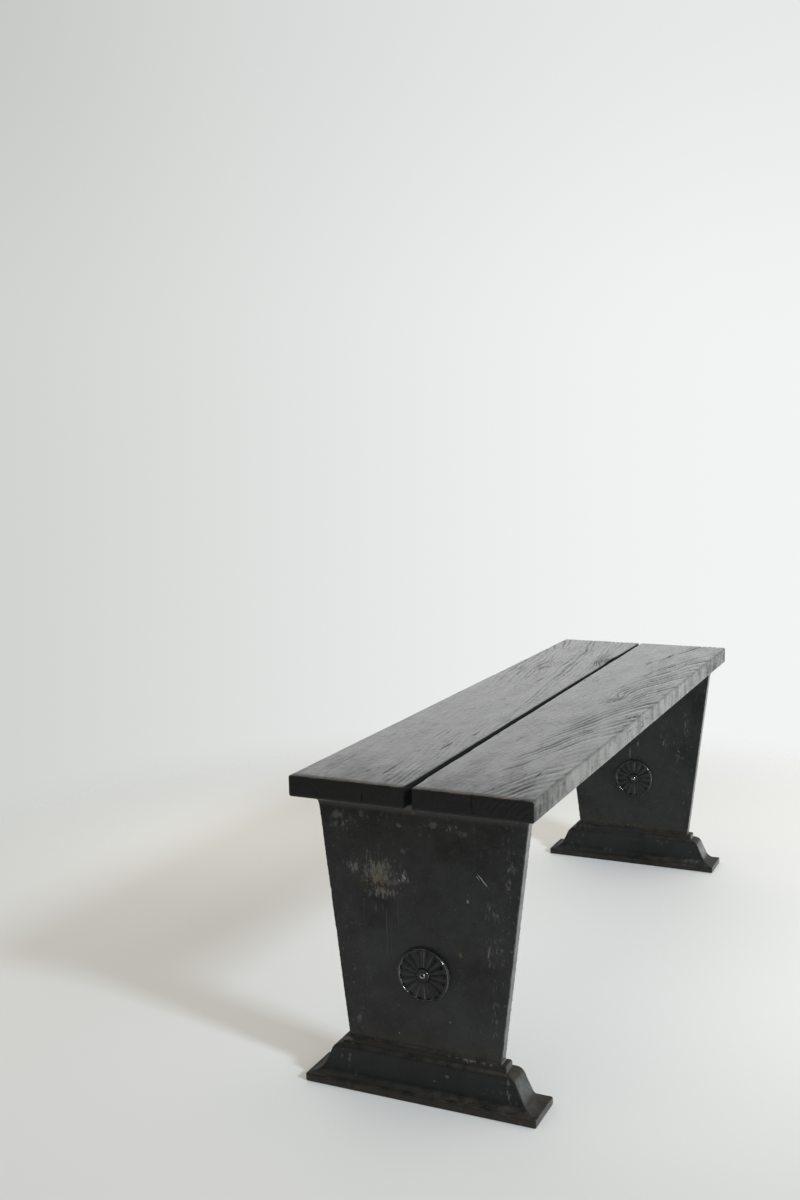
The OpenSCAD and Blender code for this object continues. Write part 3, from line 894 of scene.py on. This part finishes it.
def oldSteel():
    material, net, shader = newMaterial("oldSteel")
    place = objectPlace(net)
    mottle = net.noise(place, 1 / 5, 3, 0.6)
    grit = net.noise(place, 1 / 0.9, 2, 0.5, 4)
    rusty = (mottle * 0.7 + grit * 0.4).rise(0.48, 0.68)
    colour = net.blend(rusty, fastener["dark"], fastener["rust"])
    feed(net, shader, colour, fastener["rough"] + rusty * fastener["rougher"],
         net.bump(grit * 0.15 + mottle * 0.2, 0.6), (1 - rusty) * fastener["metal"])
    return material


fastenerSteel = oldSteel()
for end in ("near", "far"):
    for kind in fastener["kinds"]:
        mesh = nodes[f"{end}_{kind}"].data
        mesh.materials.clear()
        mesh.materials.append(fastenerSteel)
print("fasteners painted")


# Studio: a pale floor that fades into the backdrop, a large lamp on the right, a small one nearer
studio = {
    "floorRadius": 7,
    "floorSteps": 96,
    "floorRoughness": 0.7,
    "floorShadeAndLight": ((0.66, 0.67, 0.67), (0.88, 0.89, 0.89)),       # painted shade on the left of the bench, painted light on its right
    "floorTurn": (0.7, -0.5),                                    # across: where they meet
    "paintedLightUnder": (0.97, 0.98, 0.98),                            # painted light between its ends and behind it
    "lightPools": (                       # pools of painted light: middle and reach along, the same across, strength
        ((0.1, 0.6), (0.12, 0.32), 0.9),
        ((0.38, 0.42), (0.8, 0.38), 0.5),
    ),
    "paintedShadeNear": (0.53, 0.535, 0.535),                           # painted shade in front of it
    "front": (-0.15, -1.5),
    "fade": (1.8, 1.0),              # metres from the middle, where the floor fades out
    "backdrop": ((0.61, 0.625, 0.605), (0.89, 0.905, 0.905)),    # left and right for the camera
    "backdropTurn": (-0.42, 0.26),
    "backdropTop": (0.42, 0.42, 0.42),
    "topStart": (0.03, 0.3),         # how far up it shows, and how much: all over, and on the left
    "topShare": (0.2, 0.15),
    "topLeft": (-0.1, -0.3),
    "pictureRight": (0.42, -0.907),  # along and across
    "room": (0.40, 0.96),            # light from behind the camera and from elsewhere
    "mirroredRoom": (0.06, 0.98),    # the same as polished surfaces show it
    "behindCamera": (-0.75, 0.2),
    "rightSide": 0.3,                # how much more light comes from the right
    "rightStart": (-0.1, -0.75),
    "overhead": 0.4,                 # how much darker surfaces mirror the room above
    "overheadStart": (0.12, 0.45),
    "mirroredWhite": 0.6,            # how much paler they mirror the backdrop
    "warmth": (1.0, 0.95, 0.865),
    "lamps": (                       # place, size and watts
        ("softbox", (-2.07, -5.35, 3.6), 0.7, 232),
        ("window", (-2.4, -2.3, 1.95), 0.3, 4),
    ),
    "lampColour": (0.76, 0.88, 1.0),
    "lampAim": (0, 0, 0.3),
}


def makeFloor():
    startFresh()
    bpy.ops.mesh.primitive_circle_add(vertices=studio["floorSteps"], radius=studio["floorRadius"],
                                      fill_type="NGON", location=(0, 0, 0))
    floor = bpy.context.object
    floor.name = "floor"
    material, net, shader = newMaterial("floorPaper")
    shader.inputs["Roughness"].default_value = studio["floorRoughness"]
    x, y, z = (axis * mm for axis in objectPlace(net))
    # Painted light and shade on the floor: darker on the left and in front, pools of painted light
    # between the bench's ends and behind it
    colour = net.blend(y.rise(*studio["floorTurn"]), *studio["floorShadeAndLight"])
    lightPools = [x.hill(*along) * y.hill(*across) * strength
             for along, across, strength in studio["lightPools"]]
    colour = net.blend(net.strongest(lightPools), colour, studio["paintedLightUnder"])
    colour = net.blend((x + y * 0.6).rise(*studio["front"]), colour, studio["paintedShadeNear"])
    net.link(colour, shader, "Base Color")
    net.link((x * x + y * y).root().rise(*studio["fade"]), shader, "Alpha")
    floor.data.materials.append(material)


def lightRoom():
    world = bpy.data.worlds.new("studio")
    bpy.context.scene.world = world
    world.use_nodes = True
    world.cycles.sampling_method = "NONE"
    net = Net(world.node_tree)
    ahead, left, up = net.split(net.add("ShaderNodeTexCoord"))

    # The backdrop, a little darker high up and on the left
    along, across = studio["pictureRight"]
    aside = ahead * along + left * across
    backdrop = net.blend(aside.rise(*studio["backdropTurn"]), *studio["backdrop"])
    allOver, onLeft = studio["topShare"]
    darker = up.rise(*studio["topStart"]) * (aside.rise(*studio["topLeft"]) * onLeft + allOver)
    backdrop = net.blend(darker, backdrop, studio["backdropTop"])

    # Light from the room: how strong it is felt, and how much of it polished surfaces show
    felt, kept = (behind + ahead.rise(*studio["behindCamera"]) * (elsewhere - behind)
                  for behind, elsewhere in (studio["room"], studio["mirroredRoom"]))
    fill = felt * (1 + left.rise(*studio["rightStart"]) * studio["rightSide"])
    ambient = net.vector(*(fill * part for part in studio["warmth"]))
    rays = net.add("ShaderNodeLightPath").socket.node
    seen, glossy, passed = (Value(net, rays.outputs[f"Is {kind} Ray"])
                            for kind in ("Camera", "Glossy", "Transmission"))

    # Metal and wax mirror the same backdrop, dark only where the camera stands and high up
    mirrored = (glossy + passed).clear()
    backdrop = net.blend(mirrored * studio["mirroredWhite"], backdrop, (1.0, 1.0, 1.0))
    kept = kept * (1 - up.rise(*studio["overheadStart"]) * studio["overhead"])
    shown = net.blend(mirrored * (1 - kept), backdrop, (0.0, 0.0, 0.0))
    light = net.blend((seen + mirrored).clear(), ambient, shown)
    net.link(light, world.node_tree.nodes["Background"], "Color")

    for name, place, size, power in studio["lamps"]:
        lamp = bpy.data.lights.new(name, "AREA")
        lamp.size = size
        lamp.energy = power
        lamp.color = studio["lampColour"]
        box = bpy.data.objects.new(name, lamp)
        bpy.context.scene.collection.objects.link(box)
        box.location = place
        aim = Vector(studio["lampAim"]) - box.location
        box.rotation_euler = aim.to_track_quat("-Z", "Y").to_euler()


makeFloor()
lightRoom()
bpy.context.scene.view_settings.view_transform = "Standard"
print("studio lit")
